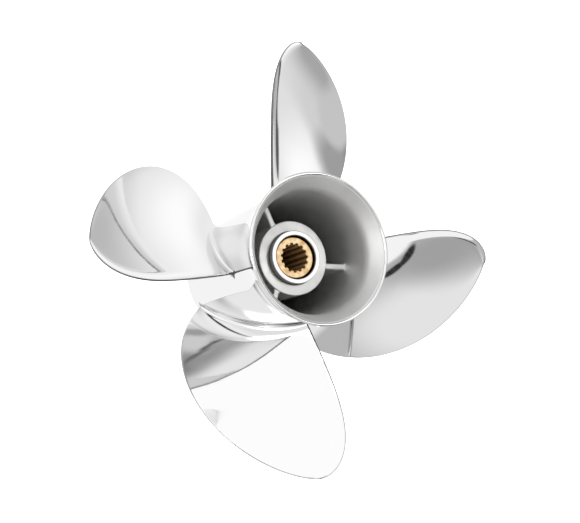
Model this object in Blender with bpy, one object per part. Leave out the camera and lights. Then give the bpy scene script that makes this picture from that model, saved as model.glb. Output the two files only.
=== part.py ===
"""Propeller of an outboard motor: four swept blades on a hollow exhaust barrel.

All lengths are metres. +Z runs along the shaft towards the stern, the origin is the
centre of the barrel's forward end, and the first blade's tip lies on +X.
"""
import math

import bmesh
import bpy

# Whole propeller
DIAMETER = 0.3556
PITCH = 0.4638
BLADE_COUNT = 4
LENGTH = 0.1578
GAP = 0.0003

# Outer barrel with its flared aft rim
BARREL_FORWARD_RADIUS = 0.05305
BARREL_AFT_RADIUS = 0.0537
BARREL_WALL = 0.0033
FLARE_START = 0.1175
FLARE_POWER = 2.0
FLARE_RINGS = 8
RIM_RADIUS = 0.0615
RIM_WALL = 0.0027
BEND_START = LENGTH - 0.0205
BEND_END = LENGTH - 0.0115
BEND_RINGS = 4
BARREL_EDGE = 0.0008
BARREL_STEPS = 80

# Inner hub that carries the bush
HUB_RADIUS = 0.03135
HUB_FACE = LENGTH - 0.0488
HUB_BOTTOM = 0.0080
BORE_RADIUS = 0.0225
BORE_MOUTH_RADIUS = 0.0228
BORE_SHOULDER = 0.0340
SHOULDER_RADIUS = 0.0172
HUB_FACE_EDGE = 0.0008
HUB_FORWARD_EDGE = 0.0020
HUB_STEPS = 64

# Bush: steel sleeve, rubber and splined brass sleeve, from the outside in
SLEEVE_RADIUS = 0.0222
SLEEVE_BORE = 0.0183
SLEEVE_TOP = LENGTH - 0.0434
SLEEVE_EDGE = 0.0006
RUBBER_BOTTOM = 0.0380
RUBBER_TOP = 0.1060
BRASS_RADIUS = 0.0171
BRASS_BODY_RADIUS = 0.0154
BRASS_TOP = LENGTH - 0.0465
BRASS_FLANGE = 0.0040
BRASS_BOTTOM = 0.0180
SPLINE_TEETH = 15
SPLINE_OUTER = 0.0123
SPLINE_INNER = 0.0109

# Ribs between the hub and the barrel
RIB_ANGLES = (-7.5, 120.5, 243.5)
RIB_LEANS = (7.5, -6.5, 8.0)
RIB_WALL = 0.0050
RIB_TOP = LENGTH - 0.0500
RIB_BOTTOM = 0.0220
RIB_FILLET = 0.0025
RIB_ROUND = 0.0016
RIB_STEPS = 4

# Blade outline: each edge is a round part that closes the tip and a plain sweep
LEAD_ROUND = math.radians(16.1)
LEAD_ROUND_POWER = 3.74
LEAD_SWEEP = math.radians(42.1)
LEAD_SWEEP_POWER = 2.74
TRAIL_ROUND = math.radians(11.3)
TRAIL_ROUND_POWER = 4.82
TRAIL_SWEEP = math.radians(2.6)
TRAIL_SWEEP_POWER = 4.75
LEAD_CORNER = 0.158
TRAIL_CORNER = 0.152

# Blade surface: height of its middle line over the radius
ROOT_HEIGHT = 0.0832
RAKE = 0.439
RAKE_CURVE = -0.0025
RAKE_RADIUS = 0.0500

# Blade sections
ROOT_THICKNESS = 0.0100
TIP_THICKNESS = 0.0024
THINNING_POWER = 0.8
BELLY_POWER = 0.7
EDGE_THICKNESS = 0.0020
EDGE_BEVEL = 0.0008
ROOT_FILLET = 0.0050
EDGE_FILLET = 0.0030
HOLLOW = 0.0007
HOLLOW_START = 0.0600
HOLLOW_RAMP = 0.0500
CUP_WIDTH = 0.0090
CUP_LIFT = 0.0016
CUP_START = 0.0700
CUP_RAMP = 0.0400
BLADE_COLUMNS = 16
BLADE_ROWS = 13
FILLET_ROWS = 5
FOOT_STEPS = 8


def clear_scene():
    """Remove everything that is in the file, so that the script starts empty."""
    for old in list(bpy.data.objects):
        bpy.data.objects.remove(old, do_unlink=True)
    for old in list(bpy.data.meshes):
        bpy.data.meshes.remove(old)


def make_material(name, colour, roughness, metallic):
    """One Principled material with a plain colour."""
    made = bpy.data.materials.new(name)
    made.use_nodes = True
    shader = made.node_tree.nodes["Principled BSDF"]
    shader.inputs["Base Color"].default_value = (*colour, 1.0)
    shader.inputs["Roughness"].default_value = roughness
    shader.inputs["Metallic"].default_value = metallic
    made.diffuse_color = (*colour, 1.0)
    return made


def finish_mesh(name, mesh_data, material):
    """Turn a bmesh into an object, with its faces pointing outwards."""
    bmesh.ops.recalc_face_normals(mesh_data, faces=mesh_data.faces)
    mesh = bpy.data.meshes.new(name)
    mesh_data.to_mesh(mesh)
    mesh_data.free()
    made = bpy.data.objects.new(name, mesh)
    bpy.context.scene.collection.objects.link(made)
    mesh.materials.append(material)
    return made


def smooth_by_angle(made, degrees):
    """Shade round surfaces smooth and keep the corners sharp."""
    for face in made.data.polygons:
        face.use_smooth = True
    made.data.set_sharp_from_angle(angle=math.radians(degrees))


def turn_profile(name, profile, steps, material):
    """Turn a closed outline of (radius, height) points round the shaft's axis."""
    outline = bmesh.new()
    points = [outline.verts.new((radius, 0.0, height)) for radius, height in profile]
    for first, second in zip(points, points[1:] + points[:1]):
        outline.edges.new((first, second))
    mesh = bpy.data.meshes.new(name)
    outline.to_mesh(mesh)
    outline.free()
    made = bpy.data.objects.new(name, mesh)
    bpy.context.scene.collection.objects.link(made)
    mesh.materials.append(material)
    screw = made.modifiers.new("turn", "SCREW")
    screw.axis = "Z"
    screw.steps = steps
    screw.render_steps = steps
    screw.use_merge_vertices = True
    screw.merge_threshold = 0.00001
    screw.use_smooth_shade = True
    return made


def barrel_radius(height):
    """Outside radius of the barrel at a height: a slight taper, then the flare."""
    taper = BARREL_FORWARD_RADIUS + (BARREL_AFT_RADIUS - BARREL_FORWARD_RADIUS) * height / FLARE_START
    if height <= FLARE_START:
        return taper
    along = (height - FLARE_START) / (LENGTH - FLARE_START)
    return BARREL_AFT_RADIUS + (RIM_RADIUS - BARREL_AFT_RADIUS) * along ** FLARE_POWER


def bore_radius(height):
    """Inside radius of the barrel: alongside the outside, then a bend and a plain cone to the rim."""
    if height <= BEND_START:
        return barrel_radius(min(height, FLARE_START)) - BARREL_WALL
    start = BARREL_AFT_RADIUS - BARREL_WALL
    middle = (BEND_START + BEND_END) / 2
    slope = (RIM_RADIUS - RIM_WALL - start) / (LENGTH - middle)
    if height < BEND_END:
        return start + slope * (height - BEND_START) ** 2 / (2 * (BEND_END - BEND_START))
    return start + slope * (height - middle)


def corner(radius, height, size, start, steps=3):
    """Points of a quarter circle round (radius, height), from start degrees clockwise."""
    points = []
    for step in range(steps + 1):
        angle = math.radians(start - 90.0 * step / steps)
        points.append((radius + size * math.cos(angle), height + size * math.sin(angle)))
    return points


def make_barrel(material):
    """Hollow outer barrel, open at both ends, with a thin flared rim aft."""
    flare_heights = [FLARE_START + (LENGTH - FLARE_START) * step / FLARE_RINGS
                     for step in range(FLARE_RINGS + 1)]
    lip = RIM_WALL / 2
    profile = corner(RIM_RADIUS - lip, LENGTH - lip, lip, 90.0)
    for height in reversed(flare_heights[:-1]):
        profile.append((barrel_radius(height), height))
    profile += corner(BARREL_FORWARD_RADIUS - BARREL_EDGE, BARREL_EDGE, BARREL_EDGE, 0.0)
    inner_forward = BARREL_FORWARD_RADIUS - BARREL_WALL
    profile += [(inner_forward + BARREL_EDGE, 0.0), (inner_forward, BARREL_EDGE)]
    bend_heights = [BEND_START + (BEND_END - BEND_START) * step / BEND_RINGS
                    for step in range(BEND_RINGS + 1)]
    for height in [FLARE_START] + bend_heights:
        profile.append((bore_radius(height), height))
    profile += corner(RIM_RADIUS - lip, LENGTH - lip, lip, 180.0)[:-1]
    return turn_profile("outer_barrel", profile, BARREL_STEPS, material)


def make_hub(material):
    """Inner hub: a thick tube with a countersunk mouth and a shoulder at the forward end."""
    profile = corner(HUB_RADIUS - HUB_FACE_EDGE, HUB_FACE - HUB_FACE_EDGE, HUB_FACE_EDGE, 90.0)
    profile += corner(HUB_RADIUS - HUB_FORWARD_EDGE, HUB_BOTTOM + HUB_FORWARD_EDGE, HUB_FORWARD_EDGE, 0.0)
    profile += [
        (SHOULDER_RADIUS, HUB_BOTTOM),
        (SHOULDER_RADIUS, BORE_SHOULDER - GAP),
        (BORE_RADIUS, BORE_SHOULDER - GAP),
        (BORE_RADIUS, HUB_FACE - (BORE_MOUTH_RADIUS - BORE_RADIUS)),
        (BORE_MOUTH_RADIUS, HUB_FACE),
    ]
    return turn_profile("inner_hub", profile, HUB_STEPS, material)


def make_sleeve(material):
    """Outer sleeve of the bush: the ring that stands proud of the hub's face."""
    profile = corner(SLEEVE_RADIUS - SLEEVE_EDGE, SLEEVE_TOP - SLEEVE_EDGE, SLEEVE_EDGE, 90.0)
    profile += [(SLEEVE_RADIUS, BORE_SHOULDER), (SLEEVE_BORE, BORE_SHOULDER)]
    profile += corner(SLEEVE_BORE + SLEEVE_EDGE, SLEEVE_TOP - SLEEVE_EDGE, SLEEVE_EDGE, 180.0)
    return turn_profile("bush_sleeve", profile, HUB_STEPS, material)


def make_rubber(material):
    """Rubber ring that drives the sleeve from the splined brass."""
    inner = BRASS_BODY_RADIUS + GAP
    outer = SLEEVE_BORE - GAP
    profile = [(inner, RUBBER_TOP), (outer, RUBBER_TOP), (outer, RUBBER_BOTTOM), (inner, RUBBER_BOTTOM)]
    return turn_profile("rubber_bush", profile, HUB_STEPS, material)


def spline_outline():
    """Inside outline of the splined bore: one tooth and one space, repeated round."""
    shares = ((0.06, SPLINE_OUTER), (0.25, SPLINE_OUTER), (0.44, SPLINE_OUTER),
              (0.58, SPLINE_INNER), (0.75, SPLINE_INNER), (0.92, SPLINE_INNER))
    outline = []
    for tooth in range(SPLINE_TEETH):
        for share, radius in shares:
            angle = 2 * math.pi * (tooth + share) / SPLINE_TEETH
            outline.append((radius * math.cos(angle), radius * math.sin(angle)))
    return outline


def make_spline_sleeve(material):
    """Brass sleeve with a flange at its aft end and splines for the propeller shaft."""
    inside = spline_outline()
    count = len(inside)
    levels = (BRASS_TOP, BRASS_TOP - BRASS_FLANGE, BRASS_TOP - BRASS_FLANGE, BRASS_BOTTOM)
    radii = (BRASS_RADIUS, BRASS_RADIUS, BRASS_BODY_RADIUS, BRASS_BODY_RADIUS)
    body = bmesh.new()
    rings = []
    for height, radius in zip(levels, radii):
        ring = []
        for x, y in inside:
            turn = math.atan2(y, x)
            ring.append(body.verts.new((radius * math.cos(turn), radius * math.sin(turn), height)))
        rings.append(ring)
    for height in (BRASS_BOTTOM, BRASS_TOP):
        rings.append([body.verts.new((x, y, height)) for x, y in inside])
    for lower, upper in zip(rings, rings[1:] + rings[:1]):
        for place in range(count):
            after = (place + 1) % count
            body.faces.new((lower[place], lower[after], upper[after], upper[place]))
    made = finish_mesh("spline_sleeve", body, material)
    smooth_by_angle(made, 30)
    return made


def rib_outline(inset, lean):
    """Cross-section of a rib near +X, turned by lean degrees about its own middle."""
    half = RIB_WALL / 2 - inset
    hub = HUB_RADIUS + GAP
    wall = barrel_radius(RIB_BOTTOM) - BARREL_WALL - GAP
    flank = []
    for step in range(RIB_STEPS + 1):
        turn = math.radians(90.0 * step / RIB_STEPS)
        flank.append((hub + RIB_FILLET * (1 - math.cos(turn)), half + RIB_FILLET * (1 - math.sin(turn))))
    for step in range(RIB_STEPS, -1, -1):
        turn = math.radians(90.0 * step / RIB_STEPS)
        flank.append((wall - RIB_FILLET * (1 - math.cos(turn)), half + RIB_FILLET * (1 - math.sin(turn))))
    points = [(radius, -spread) for radius, spread in flank]
    widest = half + RIB_FILLET
    inner = [-widest + 2 * widest * step / RIB_STEPS for step in range(1, RIB_STEPS)]
    points += [(wall, spread) for spread in inner]
    points += [(radius, spread) for radius, spread in reversed(flank)]
    points += [(hub, -spread) for spread in inner]
    slant = math.tan(math.radians(lean))
    leaned = [(radius, spread + (radius - (hub + wall) / 2) * slant) for radius, spread in points]
    return [(math.sqrt(radius ** 2 - spread ** 2), spread) for radius, spread in leaned]


def make_rib(number, angle, lean, material):
    """Radial rib: a plate with filleted feet on the hub and the barrel, and rounded ends."""
    body = bmesh.new()
    levels = []
    for step in range(RIB_STEPS + 1):
        turn = math.radians(90.0 * step / RIB_STEPS)
        levels.append((RIB_ROUND * (1 - math.cos(turn)), RIB_ROUND * (1 - math.sin(turn))))
    stations = [(RIB_BOTTOM + rise, inset) for rise, inset in levels]
    stations += [(RIB_TOP - rise, inset) for rise, inset in reversed(levels)]
    turn = math.radians(angle)
    loops = []
    for height, inset in stations:
        loop = []
        for x, y in rib_outline(inset, lean):
            px = x * math.cos(turn) - y * math.sin(turn)
            py = x * math.sin(turn) + y * math.cos(turn)
            loop.append(body.verts.new((px, py, height)))
        loops.append(loop)
    body.faces.new(loops[0])
    body.faces.new(loops[-1])
    count = len(loops[0])
    for lower, upper in zip(loops, loops[1:]):
        for place in range(count):
            after = (place + 1) % count
            body.faces.new((lower[place], lower[after], upper[after], upper[place]))
    made = finish_mesh(f"rib_{number}", body, material)
    smooth_by_angle(made, 40)
    return made


def lead_angle(radius):
    """Angle of the leading edge from the tip's line, at a radius."""
    reach = min(1.0, radius / (DIAMETER / 2))
    angle = LEAD_ROUND * math.sqrt(1 - reach ** LEAD_ROUND_POWER)
    return -angle - LEAD_SWEEP * (1 - reach ** LEAD_SWEEP_POWER)


def trail_angle(radius):
    """Angle of the trailing edge from the tip's line, at a radius."""
    reach = min(1.0, radius / (DIAMETER / 2))
    angle = TRAIL_ROUND * math.sqrt(1 - reach ** TRAIL_ROUND_POWER)
    return angle + TRAIL_SWEEP * (1 - reach ** TRAIL_SWEEP_POWER)


def pitch_angle(radius):
    """Slope of the helix at a radius."""
    return math.atan2(PITCH, 2 * math.pi * radius)


def helix_point(radius, angle, lift):
    """A point lift above the blade's face, measured square to the helix on its cylinder."""
    slope = pitch_angle(radius)
    outwards = radius - RAKE_RADIUS
    reach = outwards / (DIAMETER / 2 - RAKE_RADIUS)
    height = ROOT_HEIGHT + RAKE * outwards + RAKE_CURVE * reach ** 2
    height += PITCH * angle / (2 * math.pi) + lift * math.cos(slope)
    turn = angle - lift * math.sin(slope) / radius
    return radius * math.cos(turn), radius * math.sin(turn), height


def belly(share):
    """Fullness of a section: nothing at its edges and one in the middle."""
    return max(0.0, 4 * share * (1 - share)) ** BELLY_POWER


def thickness(radius, share):
    """Blade thickness at a radius, share of the way from leading to trailing edge."""
    root = BARREL_AFT_RADIUS
    reach = min(1.0, max(0.0, (radius - root) / (DIAMETER / 2 - root)))
    middle = ROOT_THICKNESS + (TIP_THICKNESS - ROOT_THICKNESS) * reach ** THINNING_POWER
    return EDGE_THICKNESS + (middle - EDGE_THICKNESS) * belly(share)


def cup(radius, angle):
    """Lift of the face next to the trailing edge, where the blade curls aft."""
    inwards = (trail_angle(radius) - angle) * radius / math.cos(pitch_angle(radius))
    reach = min(1.0, max(0.0, (radius - CUP_START) / CUP_RAMP))
    return CUP_LIFT * reach * max(0.0, 1 - inwards / CUP_WIDTH) ** 2


def hollow(radius, share):
    """Depth of the face's slight hollow, which grows from the root outwards."""
    reach = min(1.0, max(0.0, (radius - HOLLOW_START) / HOLLOW_RAMP))
    return HOLLOW * reach * 4 * share * (1 - share)


def side_point(edge, share):
    """Point on an edge of the outline, share of the way from the root to its corner."""
    start = BARREL_AFT_RADIUS + ROOT_FILLET
    corner_radius = LEAD_CORNER if edge is lead_angle else TRAIL_CORNER
    radius = start + (corner_radius - start) * share
    angle = edge(radius)
    return radius * math.cos(angle), radius * math.sin(angle)


def tip_point(share):
    """Point on the tip's arc, from the leading corner over the tip to the trailing one."""
    swing = 2 * share - 1
    edge = trail_angle if swing > 0 else lead_angle
    low = TRAIL_CORNER if swing > 0 else LEAD_CORNER
    radius = low + (DIAMETER / 2 - low) * math.sin(math.pi / 2 * (1 - abs(swing)))
    angle = edge(radius)
    return radius * math.cos(angle), radius * math.sin(angle)


def root_point(share):
    """Point on the line where the blade's sections meet the root fillet."""
    radius = BARREL_AFT_RADIUS + ROOT_FILLET
    angle = lead_angle(radius) + (trail_angle(radius) - lead_angle(radius)) * share
    return radius * math.cos(angle), radius * math.sin(angle)


def patch_point(across, along):
    """Point of the blade's plan, blended from its four sides: across 0-1, along 0-1."""
    corners = [side_point(edge, share) for edge in (lead_angle, trail_angle) for share in (0.0, 1.0)]
    found = []
    for axis in (0, 1):
        sides = (1 - across) * side_point(lead_angle, along)[axis]
        sides += across * side_point(trail_angle, along)[axis]
        ends = (1 - along) * root_point(across)[axis] + along * tip_point(across)[axis]
        shared = (1 - across) * ((1 - along) * corners[0][axis] + along * corners[1][axis])
        shared += across * ((1 - along) * corners[2][axis] + along * corners[3][axis])
        found.append(sides + ends - shared)
    return math.hypot(*found), math.atan2(found[1], found[0])


def fillet_spread(size, above):
    """How far a fillet of this size still stands out, at a distance above its foot."""
    return size - math.sqrt(max(0.0, size ** 2 - (size - min(above, size)) ** 2))


def blade_grid():
    """Rows of (radius, angle, face lift, back lift) from the root to the tip."""
    rows = []
    for row in range(FILLET_ROWS):
        start = math.acos(1 - GAP / ROOT_FILLET)
        turn = start + (math.pi / 2 - start) * row / FILLET_ROWS
        above = ROOT_FILLET * (1 - math.cos(turn))
        line = []
        for column in range(BLADE_COLUMNS + 1):
            share = column / BLADE_COLUMNS
            nominal = BARREL_AFT_RADIUS + above
            spread = fillet_spread(EDGE_FILLET, above) * math.cos(pitch_angle(nominal)) / nominal
            low = lead_angle(nominal) - spread
            high = trail_angle(nominal) + spread
            angle = low + (high - low) * share
            height = helix_point(nominal, angle, 0.0)[2]
            radius = barrel_radius(height) + above
            fillet = EDGE_FILLET + (ROOT_FILLET - EDGE_FILLET) * belly(share)
            swell = fillet_spread(fillet, above)
            line.append((radius, angle, swell, -thickness(radius, share) - swell))
        rows.append(line)
    for row in range(BLADE_ROWS + 1):
        line = []
        for column in range(BLADE_COLUMNS + 1):
            radius, angle = patch_point(column / BLADE_COLUMNS, row / BLADE_ROWS)
            low = lead_angle(radius)
            high = trail_angle(radius)
            share = min(1.0, max(0.0, (angle - low) / max(1e-6, high - low)))
            lift = cup(radius, angle) - hollow(radius, share)
            line.append((radius, angle, lift, lift - thickness(radius, share)))
        rows.append(line)
    return rows


def make_blade(number, grid, material):
    """One blade: its face, its back, the thin edge round them, and the curved foot."""
    body = bmesh.new()
    weights = body.edges.layers.float.new("bevel_weight_edge")
    turn = 2 * math.pi * (number - 1) / BLADE_COUNT

    def place_vertex(radius, angle, lift):
        x, y, z = helix_point(radius, angle + turn, lift)
        return body.verts.new((x, y, z - PITCH * turn / (2 * math.pi)))

    face = [[place_vertex(place[0], place[1], place[2]) for place in line] for line in grid]
    back = [[place_vertex(place[0], place[1], place[3]) for place in line] for line in grid]
    foot = [[low] for low in face[0]]
    for step in range(1, FOOT_STEPS):
        share = step / FOOT_STEPS
        for column, (radius, angle, high, low) in enumerate(grid[0]):
            foot[column].append(place_vertex(radius, angle, high + (low - high) * share))
    for column, end in enumerate(back[0]):
        foot[column].append(end)
    last_row = len(grid) - 1
    for row in range(last_row):
        for column in range(BLADE_COLUMNS):
            for sheet in (face, back):
                body.faces.new((sheet[row][column], sheet[row][column + 1],
                                sheet[row + 1][column + 1], sheet[row + 1][column]))
    for column in range(BLADE_COLUMNS):
        for step in range(FOOT_STEPS):
            body.faces.new((foot[column][step], foot[column + 1][step],
                            foot[column + 1][step + 1], foot[column][step + 1]))
    rim = [(row, 0) for row in range(last_row)]
    rim += [(last_row, column) for column in range(BLADE_COLUMNS)]
    rim += [(row, BLADE_COLUMNS) for row in range(last_row, -1, -1)]
    for (row, column), (next_row, next_column) in zip(rim, rim[1:]):
        start = [face[row][column], back[row][column]]
        end = [back[next_row][next_column], face[next_row][next_column]]
        if row == 0:
            start = foot[column]
        if next_row == 0:
            end = foot[next_column][::-1]
        body.faces.new(start + end)
        for sheet in (face, back):
            edge = body.edges.get((sheet[row][column], sheet[next_row][next_column]))
            edge[weights] = 1.0
    made = finish_mesh(f"blade_{number}", body, material)
    bevel = made.modifiers.new("rounded edge", "BEVEL")
    bevel.width = EDGE_BEVEL
    bevel.segments = 2
    bevel.limit_method = "WEIGHT"
    smooth_by_angle(made, 50)
    return made


def build():
    """Make every piece of the propeller."""
    clear_scene()
    steel = make_material("polished_stainless", (0.78, 0.78, 0.77), 0.08, 1.0)
    hub_steel = make_material("machined_stainless", (0.66, 0.66, 0.65), 0.35, 1.0)
    ring_steel = make_material("sleeve_steel", (0.85, 0.85, 0.84), 0.12, 1.0)
    brass = make_material("turned_brass", (0.80, 0.60, 0.36), 0.22, 1.0)
    rubber = make_material("black_rubber", (0.03, 0.03, 0.03), 0.70, 0.0)
    make_barrel(steel)
    make_hub(hub_steel)
    for number, (angle, lean) in enumerate(zip(RIB_ANGLES, RIB_LEANS), start=1):
        make_rib(number, angle, lean, hub_steel)
    grid = blade_grid()
    for number in range(1, BLADE_COUNT + 1):
        make_blade(number, grid, steel)
    make_sleeve(ring_steel)
    make_rubber(rubber)
    make_spline_sleeve(brass)


build()
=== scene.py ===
# %% [markdown]
# # A polished outboard propeller
# This lesson dresses a propeller that was first built as plain solids. The solids keep
# the true sizes, and each piece here stands in their place with a finer surface.
# We start by loading them.

# %% Load the solids
import math

import bmesh
import bpy
from mathutils import Matrix, Vector
from mathutils.geometry import intersect_point_line
from mathutils.kdtree import KDTree


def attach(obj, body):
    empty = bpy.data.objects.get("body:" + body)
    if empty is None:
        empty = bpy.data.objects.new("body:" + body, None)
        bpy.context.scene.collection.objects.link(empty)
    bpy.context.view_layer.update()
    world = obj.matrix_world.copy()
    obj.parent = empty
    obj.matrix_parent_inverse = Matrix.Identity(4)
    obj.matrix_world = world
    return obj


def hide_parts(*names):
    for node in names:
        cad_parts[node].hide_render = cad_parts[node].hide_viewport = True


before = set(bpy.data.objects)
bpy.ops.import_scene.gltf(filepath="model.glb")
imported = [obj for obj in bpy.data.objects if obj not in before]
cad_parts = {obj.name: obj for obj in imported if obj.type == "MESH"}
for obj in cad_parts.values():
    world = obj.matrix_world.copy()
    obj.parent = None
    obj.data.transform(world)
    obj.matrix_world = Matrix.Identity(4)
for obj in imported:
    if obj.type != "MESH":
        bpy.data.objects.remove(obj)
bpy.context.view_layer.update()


# %% [markdown]
# ## Two small helpers
# Colours are easiest to read as the hex values a paint program shows, but Blender's
# shaders work in linear light, so one function turns the first into the second.
# The other adds a node to a material, sets it up and links it in one line.

# %% Helpers for colours and nodes
def linear(hex_value):
    """An sRGB hex colour as linear red, green, blue and alpha."""
    channels = []
    for start in (0, 2, 4):
        value = int(hex_value[start:start + 2], 16) / 255
        if value <= 0.04045:
            channels.append(value / 12.92)
        else:
            channels.append(((value + 0.055) / 1.055) ** 2.4)
    return (*channels, 1.0)


def add_node(tree, kind, settings=None, inputs=None, links=None):
    """Add a node, set its properties and sockets, and link sockets to other nodes' outputs."""
    made = tree.nodes.new(kind)
    for name, value in (settings or {}).items():
        setattr(made, name, value)
    for name, value in (inputs or {}).items():
        made.inputs[name].default_value = value
    for name, source in (links or {}).items():
        tree.links.new(source, made.inputs[name])
    return made


print("middle grey 808080 is", round(linear("808080")[0], 3), "in linear light")


# %% [markdown]
# ## The sizes
# A 14 inch propeller on a barrel with a 123 mm rim. These are the same values that the
# solids were made from, in metres, so that both models agree.

# %% Main sizes
DIAMETER = 0.3556
TIP = DIAMETER / 2
PITCH = 0.4638
LENGTH = 0.1578
BLADE_COUNT = 4
BARREL_FORWARD = 0.05305
BARREL_AFT = 0.0537
BARREL_WALL = 0.0033
FLARE_START = 0.1175
FLARE_POWER = 2.0
RIM_RADIUS = 0.0615
RIM_WALL = 0.0027
print("propeller across", DIAMETER, "m, pitch", PITCH, "m")


# %% [markdown]
# ## The shape of a blade
# Seen along the shaft, a blade is bounded by two edges that sweep back and close in a
# round tip. Each edge is an angle that depends on the radius. The square root makes the
# edge arrive at the tip square to the radius, so the two edges meet there smoothly.

# %% Blade outline
LEAD_ROUND = math.radians(16.1)
LEAD_ROUND_POWER = 3.74
LEAD_SWEEP = math.radians(42.1)
LEAD_SWEEP_POWER = 2.74
TRAIL_ROUND = math.radians(11.3)
TRAIL_ROUND_POWER = 4.82
TRAIL_SWEEP = math.radians(2.6)
TRAIL_SWEEP_POWER = 4.75


def lead_angle(radius):
    """Angle of the leading edge from the tip's line."""
    reach = min(1.0, radius / TIP)
    angle = LEAD_ROUND * math.sqrt(1 - reach ** LEAD_ROUND_POWER)
    return -angle - LEAD_SWEEP * (1 - reach ** LEAD_SWEEP_POWER)


def trail_angle(radius):
    """Angle of the trailing edge from the tip's line."""
    reach = min(1.0, radius / TIP)
    angle = TRAIL_ROUND * math.sqrt(1 - reach ** TRAIL_ROUND_POWER)
    return angle + TRAIL_SWEEP * (1 - reach ** TRAIL_SWEEP_POWER)


span = math.degrees(trail_angle(0.1) - lead_angle(0.1))
print("at 0.1 m from the shaft a blade spans", round(span, 1), "degrees")


# %% [markdown]
# The face of a propeller blade is a screw surface: going round the shaft by one turn
# climbs by the pitch. On top of that the whole blade leans aft, which is its rake.
# Thickness is laid off square to the helix, on the cylinder of each radius, as
# propeller drawings do it, so the root follows the round barrel by itself.

# %% Blade surface
ROOT_HEIGHT = 0.0832
RAKE = 0.439
RAKE_CURVE = -0.0025
RAKE_RADIUS = 0.0500
ROOT_THICKNESS = 0.0100
TIP_THICKNESS = 0.0024
THINNING_POWER = 0.8
BELLY_POWER = 0.7
EDGE_THICKNESS = 0.0020
HOLLOW = 0.0007
HOLLOW_START = 0.060
HOLLOW_RAMP = 0.050
CUP_WIDTH = 0.0090
CUP_LIFT = 0.0016
CUP_START = 0.070
CUP_RAMP = 0.040


def pitch_angle(radius):
    """Slope of the helix at a radius."""
    return math.atan2(PITCH, 2 * math.pi * radius)


def helix_point(radius, angle, lift):
    """A point lift above the blade's face, as a vector."""
    slope = pitch_angle(radius)
    outwards = radius - RAKE_RADIUS
    height = ROOT_HEIGHT + RAKE * outwards
    height += RAKE_CURVE * (outwards / (TIP - RAKE_RADIUS)) ** 2
    height += PITCH * angle / (2 * math.pi) + lift * math.cos(slope)
    turn = angle - lift * math.sin(slope) / radius
    return Vector((radius * math.cos(turn), radius * math.sin(turn), height))


def clamped(value):
    """The value, kept between nothing and one."""
    return min(1.0, max(0.0, value))


def belly(share):
    """Fullness of a section: nothing at its edges and one in the middle."""
    return max(0.0, 4 * share * (1 - share)) ** BELLY_POWER


def thickness(radius, share):
    """Blade thickness, share of the way from the leading to the trailing edge."""
    reach = clamped((radius - BARREL_AFT) / (TIP - BARREL_AFT))
    middle = ROOT_THICKNESS + (TIP_THICKNESS - ROOT_THICKNESS) * reach ** THINNING_POWER
    return EDGE_THICKNESS + (middle - EDGE_THICKNESS) * belly(share)


def cup(radius, angle):
    """Lift of the face where the trailing edge curls aft."""
    inwards = (trail_angle(radius) - angle) * radius / math.cos(pitch_angle(radius))
    past = max(0.0, 1 - inwards / CUP_WIDTH)
    return CUP_LIFT * past ** 2 * clamped((radius - CUP_START) / CUP_RAMP)


def hollow(radius, share):
    """Depth of the face's hollow, which grows from the root outwards."""
    return HOLLOW * 4 * share * (1 - share) * clamped((radius - HOLLOW_START) / HOLLOW_RAMP)


for radius in (BARREL_AFT, 0.1, TIP):
    print("helix slope at", radius, "m is", round(math.degrees(pitch_angle(radius)), 1), "degrees")


# %% [markdown]
# A grid of points has to fill the blade's plan without squeezing its faces at the tip.
# The trick is a blended patch: the plan gets four sides (root, two edges and the arc of
# the tip), and each inner point is a mix of the points on those sides.

# %% Fill the blade's plan with a grid
LEAD_CORNER = 0.158
TRAIL_CORNER = 0.152
ROOT_FILLET = 0.0050


def polar(radius, angle):
    """A point of the plan from its radius and angle."""
    return Vector((radius * math.cos(angle), radius * math.sin(angle)))


def side_point(edge, share):
    """Point on one edge, share of the way from the root to its corner."""
    start = BARREL_AFT + ROOT_FILLET
    end = LEAD_CORNER if edge is lead_angle else TRAIL_CORNER
    radius = start + (end - start) * share
    return polar(radius, edge(radius))


def tip_point(share):
    """Point on the tip's arc, from the leading corner to the trailing one."""
    swing = 2 * share - 1
    edge = trail_angle if swing > 0 else lead_angle
    low = TRAIL_CORNER if swing > 0 else LEAD_CORNER
    radius = low + (TIP - low) * math.sin(math.pi / 2 * (1 - abs(swing)))
    return polar(radius, edge(radius))


def root_point(share):
    """Point on the line where the sections meet the root fillet."""
    radius = BARREL_AFT + ROOT_FILLET
    low = lead_angle(radius)
    return polar(radius, low + (trail_angle(radius) - low) * share)


def patch_point(across, along):
    """Point of the plan blended from its four sides, as radius and angle."""
    sides = side_point(lead_angle, along) * (1 - across) + side_point(trail_angle, along) * across
    ends = root_point(across) * (1 - along) + tip_point(across) * along
    low = root_point(0) * (1 - across) + root_point(1) * across
    high = tip_point(0) * (1 - across) + tip_point(1) * across
    spot = sides + ends - low * (1 - along) - high * along
    return spot.length, math.atan2(spot.y, spot.x)


print("the middle of the plan lies at radius", round(patch_point(0.5, 0.5)[0], 4), "m")


# %% [markdown]
# The casting has no sharp corner where a blade leaves the barrel: a fillet runs round
# the root. It needs the barrel's outside, which tapers slightly and then flares. A fillet
# is a quarter circle, so one function tells how far it still stands out at a distance
# above its foot, and the blade's rounded rim can use the same one.

# %% Barrel outside and fillets
EDGE_FILLET = 0.0030


def barrel_radius(height):
    """Outside radius of the barrel: a slight taper, then the flare."""
    if height <= FLARE_START:
        return BARREL_FORWARD + (BARREL_AFT - BARREL_FORWARD) * height / FLARE_START
    along = (height - FLARE_START) / (LENGTH - FLARE_START)
    return BARREL_AFT + (RIM_RADIUS - BARREL_AFT) * along ** FLARE_POWER


def fillet_spread(size, above):
    """How far a fillet still stands out at a distance above its foot."""
    return size - math.sqrt(max(0.0, size ** 2 - (size - min(above, size)) ** 2))


print("the barrel is", round(2 * barrel_radius(0.0), 4), "m across at its forward end")


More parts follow.
